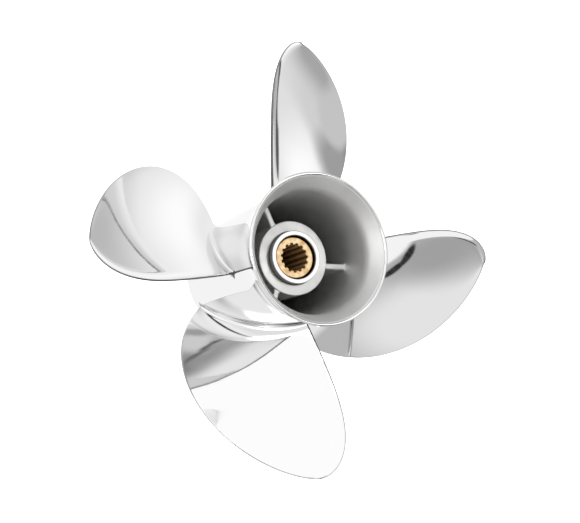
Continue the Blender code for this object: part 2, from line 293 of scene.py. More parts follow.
# %% [markdown]
# A blade's rim is half round. To round it, every point has to know how far it is from
# the rim, so we lay a chain of points along it and search that chain with a KD tree,
# which is far quicker than trying all of them. The nearness to the rim is kept as well,
# because the finish needs it later.

# %% The rim and its rounded nose
RIM_SAMPLES = 300
NOSE_SHARE = 0.97
RIM_BAND = 0.0010


def rim_points():
    """Points along the rim: out along one edge, round the tip and back along the other."""
    shares = [place / RIM_SAMPLES for place in range(RIM_SAMPLES + 1)]
    plan = [side_point(lead_angle, share) for share in shares]
    plan += [tip_point(share) for share in shares[1:-1]]
    plan += [side_point(trail_angle, share) for share in reversed(shares)]
    return [helix_point(spot.length, math.atan2(spot.y, spot.x), 0.0) for spot in plan]


rim = rim_points()
rim_tree = KDTree(len(rim))
for index, point in enumerate(rim):
    rim_tree.insert(point, index)
rim_tree.balance()


def rim_distance(point):
    """Distance from a point of the face to the rim."""
    index = rim_tree.find(point)[1]
    nearest = []
    for start in (max(0, index - 1), min(len(rim) - 2, index)):
        foot, share = intersect_point_line(point, rim[start], rim[start + 1])
        foot = rim[start] if share < 0 else rim[start + 1] if share > 1 else foot
        nearest.append((point - foot).length)
    return min(nearest)


def nose(distance):
    """How far the skin has dropped towards the middle of the rim's half-round nose."""
    size = EDGE_THICKNESS / 2
    return min(fillet_spread(size, distance), NOSE_SHARE * size)


def rim_nearness(distance):
    """One on the rim, falling to nothing where the buffed skin begins."""
    return max(0.0, 1 - distance / RIM_BAND)


print("the rim is a chain of", len(rim), "points")


# %% [markdown]
# Now the skin of a blade can be laid out in rows, from the barrel to the tip. The first
# rows climb the root fillet's quarter circle, so the skin ends lying flat on the barrel
# and the eye sees one continuous piece of metal. The others fill the plan. Rows and
# columns crowd together towards the rim, where the nose turns within a millimetre.

# %% Rows of the blade, from the barrel to the tip
COLUMNS = 96
ROWS = 64
FILLET_ROWS = 14
SMALLEST_ANGLE = 1e-6


def crowded(place, steps):
    """A share from 0 to 1 whose steps shrink towards both ends, as points on a half circle do."""
    return 0.5 - 0.5 * math.cos(math.pi * place / steps)


def fillet_point(above, share):
    """A point of the root fillet, above the barrel and share of the way across."""
    nominal = BARREL_AFT + above
    slope = pitch_angle(nominal)
    spread = fillet_spread(EDGE_FILLET, above) * math.cos(slope) / nominal
    low = lead_angle(nominal) - spread
    high = trail_angle(nominal) + spread
    angle = low + (high - low) * share
    radius = barrel_radius(helix_point(nominal, angle, 0.0).z) + above
    fillet = EDGE_FILLET + (ROOT_FILLET - EDGE_FILLET) * belly(share)
    chord = (high - low) * nominal / math.cos(slope)
    inwards = min(share, 1 - share) * chord
    swell = fillet_spread(fillet, above) - nose(inwards)
    return radius, angle, swell, -thickness(radius, share) - swell, rim_nearness(inwards)


def plan_point(across, along):
    """A point of the blade's plan, across and along its blended patch."""
    radius, angle = patch_point(across, along)
    low = lead_angle(radius)
    high = trail_angle(radius)
    share = clamped((angle - low) / max(SMALLEST_ANGLE, high - low))
    lift = cup(radius, angle) - hollow(radius, share)
    inwards = rim_distance(helix_point(radius, angle, 0.0))
    drop = nose(inwards)
    return radius, angle, lift - drop, lift - thickness(radius, share) + drop, rim_nearness(inwards)


def blade_rows():
    """Rows of (radius, angle, face lift, back lift, nearness to the rim)."""
    shares = [crowded(column, COLUMNS) for column in range(COLUMNS + 1)]
    made = []
    for row in range(FILLET_ROWS):
        above = ROOT_FILLET * (1 - math.cos(math.radians(90.0 * row / FILLET_ROWS)))
        made.append([fillet_point(above, share) for share in shares])
    for row in range(ROWS + 1):
        made.append([plan_point(share, crowded(row, ROWS)) for share in shares])
    return made


rows = blade_rows()
print("a blade has", len(rows), "rows of", COLUMNS + 1, "points on each side")


# %% [markdown]
# Each blade is a closed skin: its face, its back, and a hair-thin wall that joins them
# in the middle of the rounded rim. All four blades come from the same rows, turned by a
# quarter each. Every piece here is shaded smooth and only its real corners stay sharp,
# so the helper that makes an object takes the angle from which an edge is a corner.

# %% Build the blades
BLADE_CREASE = 60


def link_mesh(name, data, crease):
    """Turn a bmesh into an object, smooth but for edges that bend by more than crease degrees."""
    bmesh.ops.recalc_face_normals(data, faces=data.faces)
    mesh = bpy.data.meshes.new(name)
    data.to_mesh(mesh)
    data.free()
    made = bpy.data.objects.new(name, mesh)
    bpy.context.scene.collection.objects.link(made)
    for face in mesh.polygons:
        face.use_smooth = True
    mesh.set_sharp_from_angle(angle=math.radians(crease))
    return made


def make_blade(number):
    """One blade as a closed skin with a rounded edge."""
    data = bmesh.new()
    turn = Matrix.Rotation(math.tau * (number - 1) / BLADE_COUNT, 4, "Z")
    nearness = data.verts.layers.float.new("rim_nearness")
    sheets = []
    for side in (2, 3):
        sheets.append([[data.verts.new(turn @ helix_point(spot[0], spot[1], spot[side]))
                        for spot in line] for line in rows])
    for sheet in sheets:
        for verts, line in zip(sheet, rows):
            for vert, spot in zip(verts, line):
                vert[nearness] = spot[4]
    face, back = sheets
    last = len(rows) - 1
    for row in range(last):
        for column in range(COLUMNS):
            for sheet in sheets:
                data.faces.new((sheet[row][column], sheet[row][column + 1],
                                sheet[row + 1][column + 1], sheet[row + 1][column]))
    border = [(0, column) for column in range(COLUMNS, 0, -1)]
    border += [(row, 0) for row in range(last)]
    border += [(last, column) for column in range(COLUMNS)]
    border += [(row, COLUMNS) for row in range(last, 0, -1)]
    for here, after in zip(border, border[1:] + border[:1]):
        data.faces.new((face[here[0]][here[1]], back[here[0]][here[1]],
                        back[after[0]][after[1]], face[after[0]][after[1]]))
    made = link_mesh(f"polished_blade_{number}", data, BLADE_CREASE)
    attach(made, "root")
    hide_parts(f"blade_{number}")
    return made


blades = [make_blade(number) for number in range(1, BLADE_COUNT + 1)]
print("made", len(blades), "blades")


# %% [markdown]
# ## The barrel
# The blades stand on a hollow barrel that also carries the engine's exhaust. It is a
# turned shape, so an outline of radius and height is spun round the shaft. The outline
# is drawn in two runs, because the outside is polished and the inside is left blasted.

# %% A helper that turns an outline
TURNED_CREASE = 35


def turn_outline(name, outline, steps):
    """Spin a closed outline of (radius, height, material number) points round the shaft."""
    data = bmesh.new()
    rings = []
    for radius, height, _ in outline:
        ring = []
        for step in range(steps):
            angle = math.tau * step / steps
            ring.append(data.verts.new((radius * math.cos(angle), radius * math.sin(angle), height)))
        rings.append(ring)
    for ring, after, (_, _, material) in zip(rings, rings[1:] + rings[:1], outline):
        for step in range(steps):
            follow = (step + 1) % steps
            made = data.faces.new((ring[step], ring[follow], after[follow], after[step]))
            made.material_index = material
    made = link_mesh(name, data, TURNED_CREASE)
    weighted = made.modifiers.new("flat faces stay flat", "WEIGHTED_NORMAL")
    weighted.keep_sharp = True
    return made


def arc(radius, height, size, start, end, steps, material=0):
    """Points on a circle round (radius, height), from start to end in degrees."""
    points = []
    for step in range(steps + 1):
        angle = math.radians(start + (end - start) * step / steps)
        points.append((radius + size * math.cos(angle), height + size * math.sin(angle), material))
    return points


print("a quarter round in 8 steps has", len(arc(0.0, 0.0, 1.0, 90, 0, 8)), "points")


# %% [markdown]
# Inside, the barrel does not follow its outside at the rim. It runs straight, then bends
# over 9 mm into a plain cone that opens out to a round lip. The bend matters to the
# eye: the cone faces the light and the bore does not, so a border shows between them.
# The outline starts on top of the lip, goes down the outside and comes back up inside.

# %% Turn the barrel
POLISHED = 0
BLASTED = 1
BEND_START = LENGTH - 0.0205
BEND_END = LENGTH - 0.0115
BARREL_EDGE = 0.0008
OUTSIDE_STOP = 0.0012
INSIDE_STOP = 0.0018
LIP_STEPS = 8
EDGE_STEPS = 6
FLARE_STEPS = 40
BORE_STEPS = 44
BARREL_STEPS = 256


def bore_radius(height):
    """Inside radius of the barrel at a height."""
    if height <= BEND_START:
        return barrel_radius(min(height, FLARE_START)) - BARREL_WALL
    start = BARREL_AFT - BARREL_WALL
    middle = (BEND_START + BEND_END) / 2
    slope = (RIM_RADIUS - RIM_WALL - start) / (LENGTH - middle)
    if height < BEND_END:
        return start + slope * (height - BEND_START) ** 2 / (2 * (BEND_END - BEND_START))
    return start + slope * (height - middle)


lip = RIM_WALL / 2
outline = arc(RIM_RADIUS - lip, LENGTH - lip, lip, 90, 0, LIP_STEPS, POLISHED)
for step in range(FLARE_STEPS - 1, -1, -1):
    height = FLARE_START + (LENGTH - FLARE_START) * step / FLARE_STEPS
    if height < LENGTH - OUTSIDE_STOP:
        outline.append((barrel_radius(height), height, POLISHED))
outline += arc(BARREL_FORWARD - BARREL_EDGE, BARREL_EDGE, BARREL_EDGE,
               0, -90, EDGE_STEPS, POLISHED)
inner = BARREL_FORWARD - BARREL_WALL
outline += [(inner + BARREL_EDGE, 0.0, BLASTED), (inner, BARREL_EDGE, BLASTED)]
for step in range(BORE_STEPS):
    height = FLARE_START + (LENGTH - INSIDE_STOP - FLARE_START) * step / (BORE_STEPS - 1)
    outline.append((bore_radius(height), height, BLASTED))
outline += arc(RIM_RADIUS - lip, LENGTH - lip, lip, 180, 90, LIP_STEPS, POLISHED)[:-1]
barrel = turn_outline("exhaust_barrel", outline, BARREL_STEPS)
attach(barrel, "root")
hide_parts("outer_barrel")
print("barrel outline has", len(outline), "points")


# %% [markdown]
# ## Inner hub
# Inside the barrel sits a thick tube that carries the bush. It is turned like the
# barrel. Its aft end is the flat, bright ring round the bush, so that face gets a
# material number of its own and the rest stays as cast and blasted. A shoulder deep in
# its bore is what the bush rests on, and the mouth of the bore is broken by a chamfer.

# %% Inner hub
HUB_RADIUS = 0.03135
HUB_FACE = LENGTH - 0.0488
HUB_BOTTOM = 0.0080
BORE_RADIUS = 0.0225
BORE_MOUTH = 0.0228
BORE_SHOULDER = 0.0340
SHOULDER_RADIUS = 0.0172
HUB_EDGE = 0.0009
HUB_FORWARD_EDGE = 0.0020
MOUTH_BREAK = 0.0003
MOUTH_DROP = 0.0002
GAP = 0.0003
HUB_STEPS = 192
AS_CAST = 0
FACED = 1

outline = [(BORE_MOUTH + MOUTH_BREAK, HUB_FACE, FACED)]
outline += arc(HUB_RADIUS - HUB_EDGE, HUB_FACE - HUB_EDGE, HUB_EDGE, 90, 0, EDGE_STEPS, AS_CAST)
outline += arc(HUB_RADIUS - HUB_FORWARD_EDGE, HUB_BOTTOM + HUB_FORWARD_EDGE, HUB_FORWARD_EDGE,
               0, -90, EDGE_STEPS, AS_CAST)
outline += [
    (SHOULDER_RADIUS, HUB_BOTTOM, AS_CAST),
    (SHOULDER_RADIUS, BORE_SHOULDER - GAP, AS_CAST),
    (BORE_RADIUS, BORE_SHOULDER - GAP, AS_CAST),
    (BORE_RADIUS, HUB_FACE - (BORE_MOUTH - BORE_RADIUS), FACED),
    (BORE_MOUTH, HUB_FACE - MOUTH_DROP, FACED),
]
hub = turn_outline("inner_tube", outline, HUB_STEPS)
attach(hub, "root")
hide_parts("inner_hub")
print("hub face at", round(HUB_FACE, 4), "m, turned in", HUB_STEPS, "steps")


# %% [markdown]
# ## Ribs
# Three cast ribs hold the hub in the barrel, and the exhaust passes between them. In
# the photograph they are neither evenly spaced nor quite radial, so each has its own
# angle and lean. A rib is lofted: one cross-section with a fillet at each foot is
# repeated at several heights and shrinks towards the ends, which rounds them.

# %% Ribs
RIB_ANGLES = (-7.5, 120.5, 243.5)
RIB_LEANS = (7.5, -6.5, 8.0)
RIB_WALL = 0.0050
RIB_TOP = LENGTH - 0.0500
RIB_BOTTOM = 0.0220
RIB_FILLET = 0.0025
RIB_ROUND = 0.0016
RIB_STEPS = 10
RIB_CREASE = 50
HUB_BITE = 0.0003
WALL_BITE = 0.0006


def quarter_round(size):
    """Steps round a quarter circle, as (how far along, how far still to go sideways)."""
    swings = [math.radians(90.0 * step / RIB_STEPS) for step in range(RIB_STEPS + 1)]
    return [(size * (1 - math.cos(swing)), size * (1 - math.sin(swing))) for swing in swings]


def rib_flank(half):
    """One side of a rib's cross-section, as (radius, spread), from the hub to the barrel."""
    hub_side = HUB_RADIUS - HUB_BITE
    wall_side = barrel_radius(RIB_BOTTOM) - BARREL_WALL + WALL_BITE
    foot = quarter_round(RIB_FILLET)
    flank = [(hub_side + along, half + spread) for along, spread in foot]
    return flank + [(wall_side - along, half + spread) for along, spread in reversed(foot)]


def rib_outline(inset, lean):
    """Cross-section of a rib near +X, turned by lean degrees about its own middle."""
    flank = rib_flank(RIB_WALL / 2 - inset)
    points = [(radius, -spread) for radius, spread in flank]
    points += [(radius, spread) for radius, spread in reversed(flank)]
    slant = math.tan(math.radians(lean))
    middle = (flank[0][0] + flank[-1][0]) / 2
    leaned = [(radius, spread + (radius - middle) * slant) for radius, spread in points]
    return [(math.sqrt(radius ** 2 - spread ** 2), spread) for radius, spread in leaned]


def rib_stations():
    """Heights up a rib with the inset of its cross-section there."""
    levels = quarter_round(RIB_ROUND)
    stations = [(RIB_BOTTOM + rise, inset) for rise, inset in levels]
    return stations + [(RIB_TOP - rise, inset) for rise, inset in reversed(levels)]


def make_rib(number, angle, lean):
    """One rib with filleted feet and rounded ends."""
    data = bmesh.new()
    turn = Matrix.Rotation(math.radians(angle), 4, "Z")
    loops = []
    for height, inset in rib_stations():
        section = rib_outline(inset, lean)
        loops.append([data.verts.new(turn @ Vector((x, y, height))) for x, y in section])
    data.faces.new(loops[0])
    data.faces.new(loops[-1])
    for lower, upper in zip(loops, loops[1:]):
        for place in range(len(lower)):
            after = (place + 1) % len(lower)
            data.faces.new((lower[place], lower[after], upper[after], upper[place]))
    made = link_mesh(f"cast_rib_{number}", data, RIB_CREASE)
    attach(made, "root")
    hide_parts(f"rib_{number}")
    return made


ribs = []
for number, (angle, lean) in enumerate(zip(RIB_ANGLES, RIB_LEANS), start=1):
    ribs.append(make_rib(number, angle, lean))
print("made", len(ribs), "ribs")


# %% [markdown]
# ## The bush
# The bush is what drives the propeller and softens the knocks of the gears: a steel
# sleeve outside, a ring of rubber, and a brass sleeve with splines for the shaft. The
# steel sleeve stands 5 mm proud of the hub's face. It is a plain turned ring, and only
# its outside, which the photograph shows as a darker crescent, gets a second material.

# %% Outer sleeve of the bush
SLEEVE_RADIUS = 0.0222
SLEEVE_BORE = 0.0183
SLEEVE_TOP = LENGTH - 0.0434
SLEEVE_EDGE = 0.0007
# the outside of the sleeve, whose finish carries painted shade
PAINTED_SHADE_WALL = 1

outline = arc(SLEEVE_RADIUS - SLEEVE_EDGE, SLEEVE_TOP - SLEEVE_EDGE, SLEEVE_EDGE,
              90, 0, LIP_STEPS)
outline[-1] = (SLEEVE_RADIUS, SLEEVE_TOP - SLEEVE_EDGE, PAINTED_SHADE_WALL)
outline += [(SLEEVE_RADIUS, BORE_SHOULDER, 0), (SLEEVE_BORE, BORE_SHOULDER, 0)]
outline += arc(SLEEVE_BORE + SLEEVE_EDGE, SLEEVE_TOP - SLEEVE_EDGE, SLEEVE_EDGE,
               180, 90, LIP_STEPS)
sleeve = turn_outline("bright_sleeve", outline, HUB_STEPS)
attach(sleeve, "root")
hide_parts("bush_sleeve")
print("sleeve stands", round(SLEEVE_TOP - HUB_FACE, 4), "m proud of the hub")


# %% [markdown]
# The rubber fills the space between the two sleeves. The photograph shows it only as a
# dark line round the brass, so its top is set 5 mm below the brass's end. Its edges are
# rounded, as a moulding's are.

# %% Rubber ring
RUBBER_TOP = 0.1060
RUBBER_BOTTOM = 0.0380
RUBBER_EDGE = 0.0006
RUBBER_EDGE_STEPS = 5
BRASS_BODY = 0.0154
RUBBER_STEPS = 128

outer = SLEEVE_BORE - GAP
inner = BRASS_BODY + GAP
outline = arc(outer - RUBBER_EDGE, RUBBER_TOP - RUBBER_EDGE, RUBBER_EDGE,
              90, 0, RUBBER_EDGE_STEPS)
outline += [(outer, RUBBER_BOTTOM, 0), (inner, RUBBER_BOTTOM, 0)]
outline += arc(inner + RUBBER_EDGE, RUBBER_TOP - RUBBER_EDGE, RUBBER_EDGE,
               180, 90, RUBBER_EDGE_STEPS)
rubber_ring = turn_outline("rubber_ring", outline, RUBBER_STEPS)
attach(rubber_ring, "root")
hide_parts("rubber_bush")
print("rubber is", round(outer - inner, 4), "m thick")


# %% [markdown]
# The brass sleeve has fifteen splines in its bore. A spline's outline is a wave: a plain
# cosine would be too soft, so tanh squares its shoulders while the flanks keep a slope.
# Each ring of points goes round once with 24 points to a tooth, and the rings of the
# bore follow the wave while those of the outside are round. The bore's faces get a
# second material, because a broach leaves another surface than a lathe.

# %% Splined brass sleeve
BRASS_RADIUS = 0.0171
BRASS_TOP = LENGTH - 0.0465
BRASS_FLANGE = 0.0040
BRASS_BOTTOM = 0.0180
BRASS_EDGE = 0.0005
SPLINE_TEETH = 15
SPLINE_OUTER = 0.0123
SPLINE_INNER = 0.0109
SPLINE_SQUARENESS = 5.0
SPLINE_CHAMFER = 0.0004
TOOTH_STEPS = 24
BROACHED_WALL = 1


def spline_radius(share, grow):
    """Radius of the splined bore, share of the way through one tooth and space."""
    rise = 0.5 + 0.5 * math.tanh(SPLINE_SQUARENESS * math.cos(math.tau * (share - 0.25)))
    return SPLINE_INNER + (SPLINE_OUTER - SPLINE_INNER) * rise + grow


def brass_ring(data, height, radius, grow):
    """A ring of points at a height, which follows the splines where it has no radius."""
    steps = SPLINE_TEETH * TOOTH_STEPS
    ring = []
    for step in range(steps):
        angle = math.tau * step / steps
        here = spline_radius((step / TOOTH_STEPS) % 1.0, grow) if radius is None else radius
        ring.append(data.verts.new((here * math.cos(angle), here * math.sin(angle), height)))
    return ring


stations = [
    (BRASS_BOTTOM, None, 0.0),
    (BRASS_TOP - SPLINE_CHAMFER, None, 0.0),
    (BRASS_TOP, None, SPLINE_CHAMFER),
    (BRASS_TOP, BRASS_RADIUS - BRASS_EDGE, 0.0),
    (BRASS_TOP - BRASS_EDGE, BRASS_RADIUS, 0.0),
    (BRASS_TOP - BRASS_FLANGE, BRASS_RADIUS, 0.0),
    (BRASS_TOP - BRASS_FLANGE, BRASS_BODY, 0.0),
    (BRASS_BOTTOM, BRASS_BODY, 0.0),
]
data = bmesh.new()
rings = [brass_ring(data, *station) for station in stations]
for number, (ring, after) in enumerate(zip(rings, rings[1:] + rings[:1])):
    for step in range(len(ring)):
        follow = (step + 1) % len(ring)
        made = data.faces.new((ring[step], ring[follow], after[follow], after[step]))
        made.material_index = BROACHED_WALL if number == 0 else 0
brass = link_mesh("splined_brass", data, TURNED_CREASE)
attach(brass, "root")
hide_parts("spline_sleeve")
print("brass sleeve with", SPLINE_TEETH, "splines")


# %% [markdown]
# ## Finishes
# Almost everything here is stainless steel, so the colour hardly changes. What changes
# is how each surface was worked: mirror polished outside, blasted inside, faced on a
# lathe at the hub. A metal's own colour is its Base Color, and Metallic is one.
# Each pattern is measured in millimetres, because the model is built in metres. A noise
# seldom leaves the span from 0.3 to 0.7, so Map Range stretches that span.

# %% Start a finish
MILLIMETRE = 0.001
NOISE_SPAN = {"From Min": 0.3, "From Max": 0.7}


def per_metre(size):
    """Texture scale for a pattern whose grains are this many millimetres."""
    return 1 / (size * MILLIMETRE)


def new_finish(name, colour, roughness, metallic=1.0):
    """A material with a Principled shader, and the place of each point in metres."""
    made = bpy.data.materials.new(name)
    made.use_nodes = True
    tree = made.node_tree
    shader = tree.nodes["Principled BSDF"]
    shader.inputs["Base Color"].default_value = linear(colour)
    shader.inputs["Roughness"].default_value = roughness
    shader.inputs["Metallic"].default_value = metallic
    place = add_node(tree, "ShaderNodeTexCoord").outputs["Object"]
    return made, tree, shader, place


print("a pattern of 1 mm has scale", per_metre(1.0))


# %% [markdown]
# ### Mirror-polished stainless
# A stainless casting is ground, then buffed until it mirrors. Roughness near zero
# gives that. A wheel held by hand never leaves a perfect surface, though: it leaves a
# gentle waviness some 14 mm long, which bends the reflections, and a haze of fine marks
# that run round the shaft. In life they are about 0.1 mm wide, and they are drawn ten
# times wider so that they show.
# Each blade shows a thin dark line round it, most likely dark surroundings seen in
# the narrow turn of the rim. That turn is finer than a pixel here, so the last
# millimetre is a painted reflection: its base colour turns grey, and it is slightly
# rougher. It is a choice for the look and not a known finish. The blades carry their
# nearness to the rim as an attribute for it.

# %% Mirror-polished stainless
WAVE_LENGTH = 14.0
WAVE_DEPTH = 0.010
BUFF_MARK = 1.0
BUFF_SQUEEZE = 0.08
RIM_HAZE = 0.25
STEEL = "e7e7e7"
RIM_PAINTED_REFLECTION = "606060"

polished, tree, shader, place = new_finish("stainless_mirror_polished", STEEL, 0.04)
wave = add_node(tree, "ShaderNodeTexNoise", inputs={
    "Scale": per_metre(WAVE_LENGTH), "Detail": 0.0}, links={"Vector": place})
ringwise = add_node(tree, "ShaderNodeMapping", inputs={
    "Scale": (BUFF_SQUEEZE, BUFF_SQUEEZE, 1.0)}, links={"Vector": place})
marks = add_node(tree, "ShaderNodeTexNoise", inputs={
    "Scale": per_metre(BUFF_MARK), "Detail": 2.0}, links={"Vector": ringwise.outputs["Vector"]})
haze = add_node(tree, "ShaderNodeMapRange", inputs={
    **NOISE_SPAN, "To Min": 0.025, "To Max": 0.065}, links={"Value": marks.outputs["Fac"]})
bend = add_node(tree, "ShaderNodeBump", inputs={
    "Strength": 1.0, "Distance": WAVE_DEPTH * MILLIMETRE}, links={"Height": wave.outputs["Fac"]})
rim_edge = add_node(tree, "ShaderNodeAttribute", {"attribute_name": "rim_nearness"})
# painted reflection: the base colour turns grey over the rim's last millimetre
grey = add_node(tree, "ShaderNodeMix", {"data_type": "RGBA"}, {
    "A": linear(STEEL), "B": linear(RIM_PAINTED_REFLECTION)}, {"Factor": rim_edge.outputs["Fac"]})
dressed = add_node(tree, "ShaderNodeMath", {"operation": "MULTIPLY_ADD"}, {1: RIM_HAZE}, {
    0: rim_edge.outputs["Fac"], 2: haze.outputs["Result"]})
tree.links.new(grey.outputs["Result"], shader.inputs["Base Color"])
tree.links.new(dressed.outputs[0], shader.inputs["Roughness"])
tree.links.new(bend.outputs["Normal"], shader.inputs["Normal"])
for blade in blades:
    blade.data.materials.append(polished)
barrel.data.materials.append(polished)
print("polished steel waves over", WAVE_LENGTH, "mm")


# %% [markdown]
# ### Bead-blasted stainless
# The inside of the barrel isn't polished. It looks like a casting blasted with glass
# beads, some 0.3 mm across, that leave it evenly dimpled: a matte grey with a soft sheen
# and no reflections. So the roughness is high and a fine noise does the dimples, drawn
# 1 mm across because the real ones are smaller than a pixel here. Clouds 18 mm wide
# keep the grey from being quite even.

# %% Bead-blasted stainless
DIMPLE = 1.0
DIMPLE_DEPTH = 0.030
CLOUD = 18.0

blasted, tree, shader, place = new_finish("stainless_bead_blasted", "ebebea", 0.50)
dimples = add_node(tree, "ShaderNodeTexNoise", inputs={
    "Scale": per_metre(DIMPLE), "Detail": 2.0}, links={"Vector": place})
clouds = add_node(tree, "ShaderNodeTexNoise", inputs={
    "Scale": per_metre(CLOUD), "Detail": 3.0}, links={"Vector": place})
shade = add_node(tree, "ShaderNodeMix", {"data_type": "RGBA"}, {
    "A": linear("e5e5e4"), "B": linear("f1f1f1")}, {"Factor": clouds.outputs["Fac"]})
grain = add_node(tree, "ShaderNodeBump", inputs={
    "Strength": 1.0, "Distance": DIMPLE_DEPTH * MILLIMETRE}, links={"Height": dimples.outputs["Fac"]})
patchy = add_node(tree, "ShaderNodeMapRange", inputs={
    **NOISE_SPAN, "To Min": 0.50, "To Max": 0.58}, links={"Value": dimples.outputs["Fac"]})
tree.links.new(shade.outputs["Result"], shader.inputs["Base Color"])
tree.links.new(patchy.outputs["Result"], shader.inputs["Roughness"])
tree.links.new(grain.outputs["Normal"], shader.inputs["Normal"])
barrel.data.materials.append(blasted)
hub.data.materials.append(blasted)
for rib in ribs:
    rib.data.materials.append(blasted)
print("blasted dimples drawn", DIMPLE, "mm across")


# %% [markdown]
# ### Faced stainless
# The end of the inner tube is flat, as if cut on a lathe. A facing tool leaves rings about
# 0.2 mm apart, and rings smear a reflection outwards, so light and dark lie in sectors
# like the hands of a clock. Anisotropic with a radial tangent makes those sectors, and a
# faint sine of the radius draws the rings themselves, 1.3 mm apart so that they show.

# %% Rings round the shaft
def shaft_distance(tree, place):
    """The distance of each point from the shaft's line, in metres."""
    flat = add_node(tree, "ShaderNodeVectorMath", {"operation": "MULTIPLY"}, {1: (1, 1, 0)}, {0: place})
    far = add_node(tree, "ShaderNodeVectorMath", {"operation": "LENGTH"}, links={0: flat.outputs[0]})
    return far.outputs["Value"]


def cut_rings(tree, shader, place, spacing, depth):
    """Ripple the skin in rings round the shaft, with spacing and depth in millimetres."""
    turns = add_node(tree, "ShaderNodeMath", {"operation": "MULTIPLY"}, {1: math.tau * per_metre(spacing)}, {
        0: shaft_distance(tree, place)})
    wave = add_node(tree, "ShaderNodeMath", {"operation": "SINE"}, links={0: turns.outputs[0]})
    ripple = add_node(tree, "ShaderNodeBump", inputs={
        "Strength": 1.0, "Distance": depth * MILLIMETRE}, links={"Height": wave.outputs[0]})
    tree.links.new(ripple.outputs["Normal"], shader.inputs["Normal"])


def smear_outwards(tree, shader, amount):
    """Stretch the reflections away from the shaft, as rings too fine to see do."""
    shader.inputs["Anisotropic"].default_value = amount
    radial = add_node(tree, "ShaderNodeTangent", {"direction_type": "RADIAL", "axis": "Z"})
    tree.links.new(radial.outputs["Tangent"], shader.inputs["Tangent"])


print("rings 1 mm apart take", round(math.tau * per_metre(1.0)), "radians to the metre")


# %% [markdown]
# Handling wears the rings in patches, so the roughness wanders a little over 6 mm.

# %% Faced stainless
FACING_FEED = 1.3
FACING_DEPTH = 0.004
FACING_SMEAR = 0.85
HANDLING_MARK = 6.0

faced, tree, shader, place = new_finish("stainless_lathe_faced", "dededc", 0.42)
smear_outwards(tree, shader, FACING_SMEAR)
cut_rings(tree, shader, place, FACING_FEED, FACING_DEPTH)
wear_and_groove_depth = add_node(tree, "ShaderNodeTexNoise", inputs={
    "Scale": per_metre(HANDLING_MARK), "Detail": 3.0}, links={"Vector": place})
rub = add_node(tree, "ShaderNodeMapRange", inputs={
    **NOISE_SPAN, "To Min": 0.38, "To Max": 0.46}, links={"Value": wear_and_groove_depth.outputs["Fac"]})
tree.links.new(rub.outputs["Result"], shader.inputs["Roughness"])
hub.data.materials.append(faced)
print("facing rings drawn", FACING_FEED, "mm apart")


# %% [markdown]
# ### Bright-turned sleeve
# The bush's outer sleeve looks brighter and smoother than the hub round it, like steel
# turned with a fine feed. The same rings are used, closer together and shallower.

# %% Bright-turned sleeve
SLEEVE_FEED = 0.9
SLEEVE_DEPTH = 0.002
SLEEVE_SMEAR = 0.4

bright, tree, shader, place = new_finish("steel_bright_turned", "d0d0ce", 0.22)
smear_outwards(tree, shader, SLEEVE_SMEAR)
cut_rings(tree, shader, place, SLEEVE_FEED, SLEEVE_DEPTH)
sleeve.data.materials.append(bright)
print("sleeve rings drawn", SLEEVE_FEED, "mm apart")


# %% [markdown]
# Only the end of the sleeve is bright. Its outside shows as a darker crescent between
# the sleeve and the hub, and that darkness is painted shade: the base colour is kept a
# dark grey so that the wall reads as that crescent. What surface it really has can't be
# seen, so it is given that of cold-drawn bar: duller, with long streaks along the shaft.

# %% Drawn outside of the sleeve, with painted shade
DRAWN_STREAK = 0.8
DRAWN_SQUEEZE = 0.08

# painted shade: a dark grey base colour makes the sleeve's outside read as shaded
drawn, tree, shader, place = new_finish("steel_drawn_painted_shade", "8e8d8b", 0.45)
along = add_node(tree, "ShaderNodeMapping", inputs={
    "Scale": (1.0, 1.0, DRAWN_SQUEEZE)}, links={"Vector": place})
streaks = add_node(tree, "ShaderNodeTexNoise", inputs={
    "Scale": per_metre(DRAWN_STREAK), "Detail": 2.0}, links={"Vector": along.outputs["Vector"]})
shade = add_node(tree, "ShaderNodeMix", {"data_type": "RGBA"}, {
    "A": linear("7c7b79"), "B": linear("a2a19e")}, {"Factor": streaks.outputs["Fac"]})
tree.links.new(shade.outputs["Result"], shader.inputs["Base Color"])
sleeve.data.materials.append(drawn)
print("drawn streaks", DRAWN_STREAK, "mm wide")


# %% [markdown]
# ### Turned and broached brass
# The splined sleeve is brass. Its end face looks turned, so it carries rings. Splines
# like these are cut by a broach pulled along the bore, which leaves long straight
# scratches. Brass also tarnishes unevenly, so each of the two finishes mixes a lighter
# and a darker colour.

# %% Turned brass
BRASS_FEED = 1.0
BRASS_DEPTH = 0.003
TARNISH = 5.0

brass_face, tree, shader, place = new_finish("brass_turned", "c4a880", 0.30)
tarnish = add_node(tree, "ShaderNodeTexNoise", inputs={
    "Scale": per_metre(TARNISH), "Detail": 3.0}, links={"Vector": place})
cloud = add_node(tree, "ShaderNodeMapRange", inputs={
    "From Min": 0.35, "From Max": 0.65}, links={"Value": tarnish.outputs["Fac"]})
shade = add_node(tree, "ShaderNodeMix", {"data_type": "RGBA"}, {
    "A": linear("b4905f"), "B": linear("d6c09c")}, {"Factor": cloud.outputs["Result"]})
tree.links.new(shade.outputs["Result"], shader.inputs["Base Color"])
cut_rings(tree, shader, place, BRASS_FEED, BRASS_DEPTH)
brass.data.materials.append(brass_face)
print("brass rings drawn", BRASS_FEED, "mm apart")


# %% [markdown]
# The crests of the splines are bright and the grooves between them brown, darker
# towards the bottom of each groove. The distance from the shaft tells the two apart, so
# it mixes from the scratched colour to the brown. The bore is taken to carry a film, and
# a film is no metal, so Metallic drops to 0.3. Squeezing a noise to a tenth of its scale
# along the shaft draws it out into scratches.

# %% Broached brass
SCRATCH = 0.5
SCRATCH_DEPTH = 0.020
SCRATCH_SQUEEZE = 0.1
SPLINE_FLAT = 0.0002

